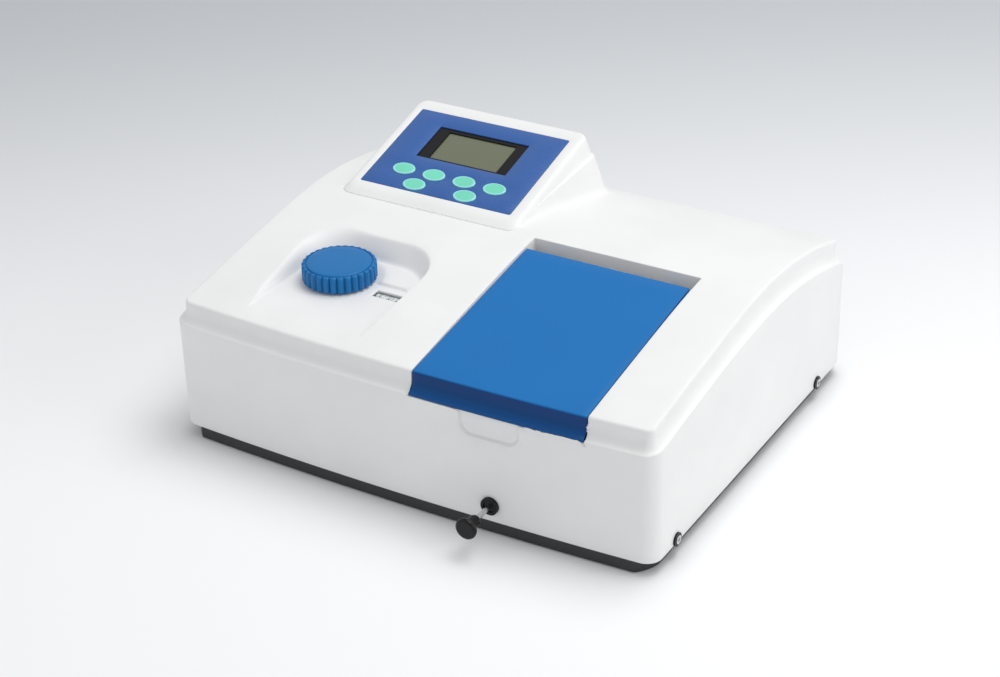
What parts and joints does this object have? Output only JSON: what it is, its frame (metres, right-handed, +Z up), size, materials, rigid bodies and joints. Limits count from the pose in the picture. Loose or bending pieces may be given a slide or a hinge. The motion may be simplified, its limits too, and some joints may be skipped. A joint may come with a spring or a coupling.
{
  "type": "spectrophotometer",
  "caption": "Bench-top visible spectrophotometer: arched case, hinged lid over a cuvette changer on a pull rod, wavelength knob with counter, and a tilted keypad display.",
  "frame": {"origin": "on the bench, in the middle of the whole footprint from the pull knob's face to the rear fittings and from screw head to screw head", "axes": "+Z up from the bench, front of the case towards -Y, +X to the right seen from the front"},
  "size_m": [0.4646, 0.418, 0.1955],
  "materials": {
    "case_white": "fine satin moulding, warm white",
    "tray_dark": "dark grey powder coat",
    "rubber": "matt black",
    "steel": "turned, bright",
    "black_plastic": "satin black",
    "lid_blue": "fine grained satin",
    "knob_blue": "satin, fluted edge",
    "foam": "closed-cell foam",
    "chamber_black": "matt black paint",
    "clear_glass": "polished",
    "cuvette_glass": "polished",
    "anodised_black": "black anodised",
    "brass": "machined",
    "alloy": "milled",
    "mirror_glass": "front-surface mirror",
    "wheel_white": "moulded number wheel",
    "membrane_blue": "fine matt polyester film",
    "lcd": "unlit olive liquid crystal",
    "circuit_board": "solder mask",
    "key_mint": "soft embossed key",
    "ceramic": "unglazed ceramic"
  },
  "bodies": {
    "case": {"upper_shell": "case_white", "base_tray": "tray_dark", "rubber_feet": "rubber", "case_screws": "steel", "screw_cups": "black_plastic", "lid_hinge_pins": "steel", "lid_seal": "foam", "sample_chamber": "chamber_black", "chamber_windows": "clear_glass", "rod_grommet": "black_plastic", "guide_rails": "steel", "position_detent": "brass", "shaft_bush": "brass", "screw_bearings": "alloy", "grating_pivot": "steel", "counter_frame": "black_plastic", "counter_axle": "steel", "counter_window": "clear_glass", "keypad_membrane": "membrane_blue", "display_bezel": "black_plastic", "display_glass": "lcd", "display_board": "circuit_board", "optical_bench": "alloy", "lamp_housing": "tray_dark", "tungsten_lamp": "cuvette_glass", "lamp_socket": "ceramic", "entrance_slit": "anodised_black", "fold_mirror": "mirror_glass", "exit_slit": "anodised_black", "detector_housing": "anodised_black", "main_board": "circuit_board", "power_supply": "alloy", "rear_panel": "tray_dark", "power_inlet": "black_plastic", "switch_frame": "black_plastic", "data_port": "steel"},
    "lid": {"sample_lid": "lid_blue"},
    "changer": {"pull_rod": "steel", "pull_knob": "black_plastic", "cuvette_carriage": "anodised_black", "cuvettes": "cuvette_glass"},
    "knob": {"wavelength_knob": "knob_blue", "wavelength_shaft": "steel", "bevel_pinion": "brass"},
    "screw": {"lead_screw": "steel", "bevel_gear": "brass"},
    "nut": {"screw_nut": "brass"},
    "turntable": {"grating_table": "alloy", "diffraction_grating": "mirror_glass"},
    "units_wheel": {"counter_wheel_units": "wheel_white"},
    "tens_wheel": {"counter_wheel_tens": "wheel_white"},
    "hundreds_wheel": {"counter_wheel_hundreds": "wheel_white"},
    "button_1": {"key_1": "key_mint"},
    "button_2": {"key_2": "key_mint"},
    "button_3": {"key_3": "key_mint"},
    "button_4": {"key_4": "key_mint"},
    "button_5": {"key_5": "key_mint"},
    "button_6": {"key_6": "key_mint"},
    "rocker": {"power_switch": "black_plastic"}
  },
  "joints": [
    {"name": "lid_hinge", "type": "hinge", "parent": "case", "child": "lid", "pos_m": [0.09, 0.025, 0.147], "axis": [-1, 0, 0], "range_deg": [0, 100]},
    {"name": "rod_pull", "type": "slide", "parent": "case", "child": "changer", "axis": [0, -1, 0], "range_m": [0, 0.057]},
    {"name": "knob_turn", "type": "hinge", "parent": "case", "child": "knob", "pos_m": [-0.124, -0.0645, 0.134], "axis": [0, 0, -1], "range_deg": [-1591, 3269]},
    {"name": "screw_turn", "type": "hinge", "parent": "case", "child": "screw", "pos_m": [-0.124, -0.027, 0.034], "axis": [0, 1, 0], "range_deg": [-1592, 3270]},
    {"name": "nut_slide", "type": "slide", "parent": "case", "child": "nut", "axis": [0, 1, 0], "range_m": [-0.00664, 0.01364]},
    {"name": "grating_turn", "type": "hinge", "parent": "case", "child": "turntable", "pos_m": [-0.174, -0.027, 0.0235], "axis": [0, 0, 1], "range_deg": [-7.65, 15.65]},
    {"name": "units_turn", "type": "hinge", "parent": "case", "child": "units_wheel", "pos_m": [-0.0626, -0.068, 0.121], "axis": [1, 0, 0], "range_deg": [-7956, 16346]},
    {"name": "tens_turn", "type": "hinge", "parent": "case", "child": "tens_wheel", "pos_m": [-0.071, -0.068, 0.121], "axis": [1, 0, 0], "range_deg": [-796.5, 1635.5]},
    {"name": "hundreds_turn", "type": "hinge", "parent": "case", "child": "hundreds_wheel", "pos_m": [-0.0794, -0.068, 0.121], "axis": [1, 0, 0], "range_deg": [-80.55, 164.45]},
    {"name": "key_1_press", "type": "slide", "parent": "case", "child": "button_1", "axis": [0, 0.2453, -0.9694], "range_m": [0, 0.0007], "stiffness_N_per_m": 700},
    {"name": "key_2_press", "type": "slide", "parent": "case", "child": "button_2", "axis": [0, 0.2453, -0.9694], "range_m": [0, 0.0007], "stiffness_N_per_m": 700},
    {"name": "key_3_press", "type": "slide", "parent": "case", "child": "button_3", "axis": [0, 0.2453, -0.9694], "range_m": [0, 0.0007], "stiffness_N_per_m": 700},
    {"name": "key_4_press", "type": "slide", "parent": "case", "child": "button_4", "axis": [0, 0.2453, -0.9694], "range_m": [0, 0.0007], "stiffness_N_per_m": 700},
    {"name": "key_5_press", "type": "slide", "parent": "case", "child": "button_5", "axis": [0, 0.2453, -0.9694], "range_m": [0, 0.0007], "stiffness_N_per_m": 700},
    {"name": "key_6_press", "type": "slide", "parent": "case", "child": "button_6", "axis": [0, 0.2453, -0.9694], "range_m": [0, 0.0007], "stiffness_N_per_m": 700},
    {"name": "switch_rock", "type": "hinge", "parent": "case", "child": "rocker", "pos_m": [0.118, 0.201, 0.052], "axis": [-1, 0, 0], "range_deg": [0, 12]}
  ],
  "couplings": [
    {"joint": "screw_turn", "follows": "knob_turn", "ratio": 1},
    {"joint": "nut_slide", "follows": "knob_turn", "m_per_rad": 0.00023873},
    {"joint": "grating_turn", "follows": "knob_turn", "ratio": 0.0047747},
    {"joint": "units_turn", "follows": "knob_turn", "ratio": 5},
    {"joint": "tens_turn", "follows": "knob_turn", "ratio": 0.5},
    {"joint": "hundreds_turn", "follows": "knob_turn", "ratio": 0.05}
  ]
}
